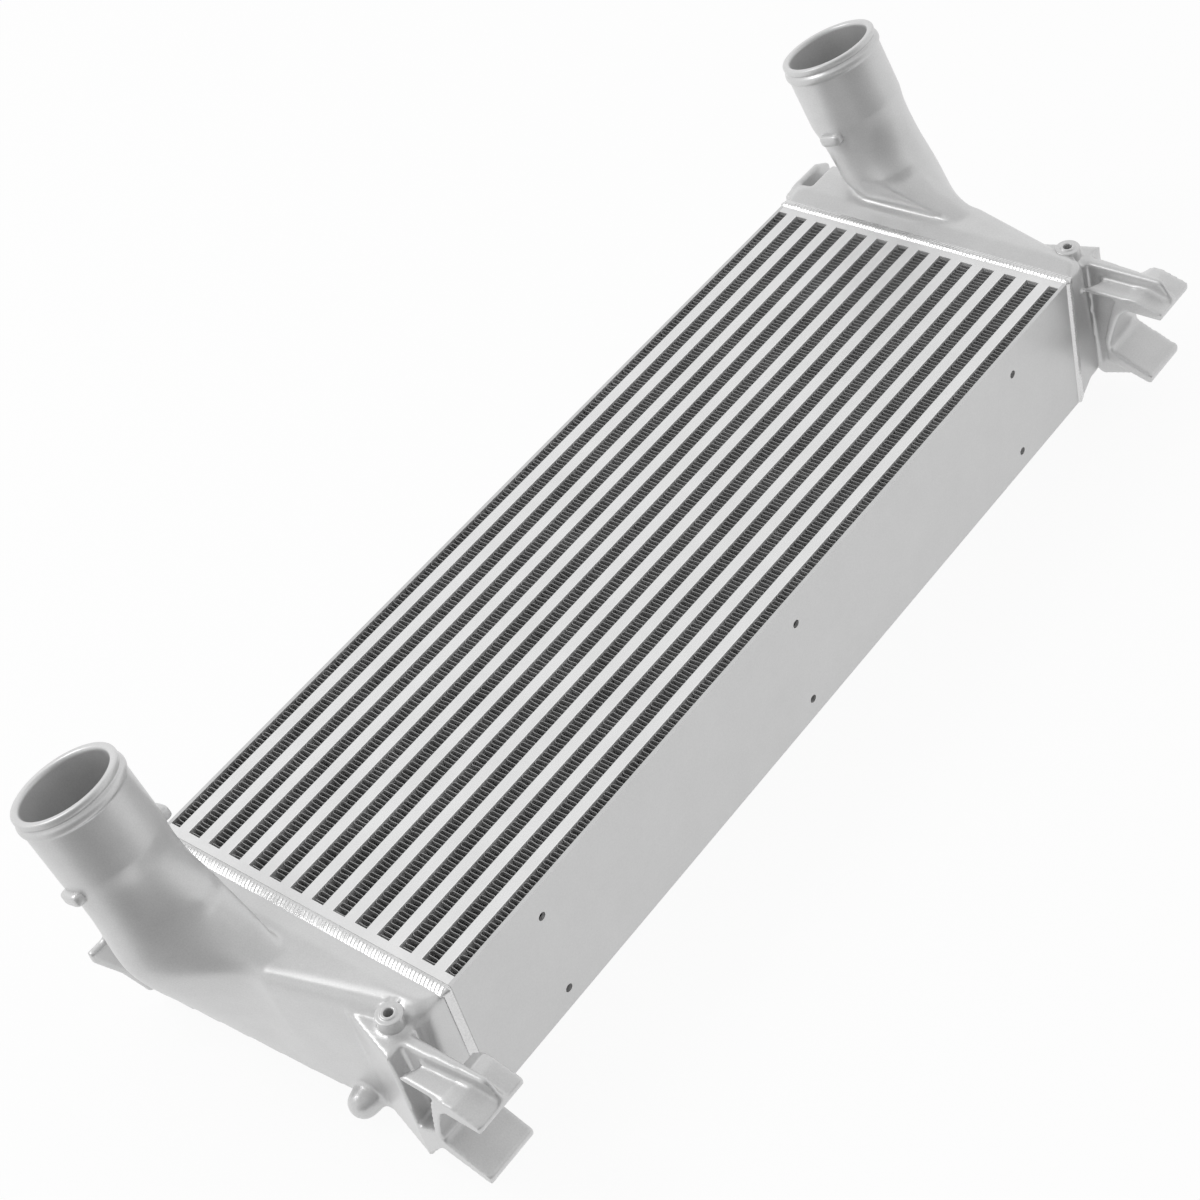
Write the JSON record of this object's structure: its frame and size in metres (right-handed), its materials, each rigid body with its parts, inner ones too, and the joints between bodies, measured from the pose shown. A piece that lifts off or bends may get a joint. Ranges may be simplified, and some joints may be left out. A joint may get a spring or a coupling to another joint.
{
  "type": "intercooler",
  "caption": "Bar-and-plate charge-air cooler with finned core, flat side plates and two cast end tanks with leaning hose spigots and side mounting forks.",
  "frame": {"origin": "centre of the core's rear face, midway between the two end tanks", "axes": "+Y along the tubes from the near to the far tank, +X across the stack towards the forks, +Z out of the front face, the way the spigots stand"},
  "size_m": [0.2701, 0.7442, 0.2035],
  "materials": {
    "cast_tank": "satin silver paint over a blasted casting",
    "core_bar": "satin silver paint",
    "side_plate": "satin silver paint",
    "weld": "rippled weld under thin silver paint",
    "fin_sheet": "thin bare sheet, dull"
  },
  "bodies": {
    "root": {"charge_tube_01": "core_bar", "charge_tube_02": "core_bar", "charge_tube_03": "core_bar", "charge_tube_04": "core_bar", "charge_tube_05": "core_bar", "charge_tube_06": "core_bar", "charge_tube_07": "core_bar", "charge_tube_08": "core_bar", "charge_tube_09": "core_bar", "charge_tube_10": "core_bar", "charge_tube_11": "core_bar", "charge_tube_12": "core_bar", "charge_tube_13": "core_bar", "cooling_fin_01": "fin_sheet", "cooling_fin_02": "fin_sheet", "cooling_fin_03": "fin_sheet", "cooling_fin_04": "fin_sheet", "cooling_fin_05": "fin_sheet", "cooling_fin_06": "fin_sheet", "cooling_fin_07": "fin_sheet", "cooling_fin_08": "fin_sheet", "cooling_fin_09": "fin_sheet", "cooling_fin_10": "fin_sheet", "cooling_fin_11": "fin_sheet", "cooling_fin_12": "fin_sheet", "cooling_fin_13": "fin_sheet", "cooling_fin_14": "fin_sheet", "far_end_tank": "cast_tank", "far_header_bars": "core_bar", "far_weld_bead": "weld", "left_side_plate": "side_plate", "near_end_tank": "cast_tank", "near_header_bars": "core_bar", "near_weld_bead": "weld", "right_side_plate": "side_plate", "turbulator_01": "fin_sheet", "turbulator_02": "fin_sheet", "turbulator_03": "fin_sheet", "turbulator_04": "fin_sheet", "turbulator_05": "fin_sheet", "turbulator_06": "fin_sheet", "turbulator_07": "fin_sheet", "turbulator_08": "fin_sheet", "turbulator_09": "fin_sheet", "turbulator_10": "fin_sheet", "turbulator_11": "fin_sheet", "turbulator_12": "fin_sheet", "turbulator_13": "fin_sheet"}
  },
  "joints": []
}
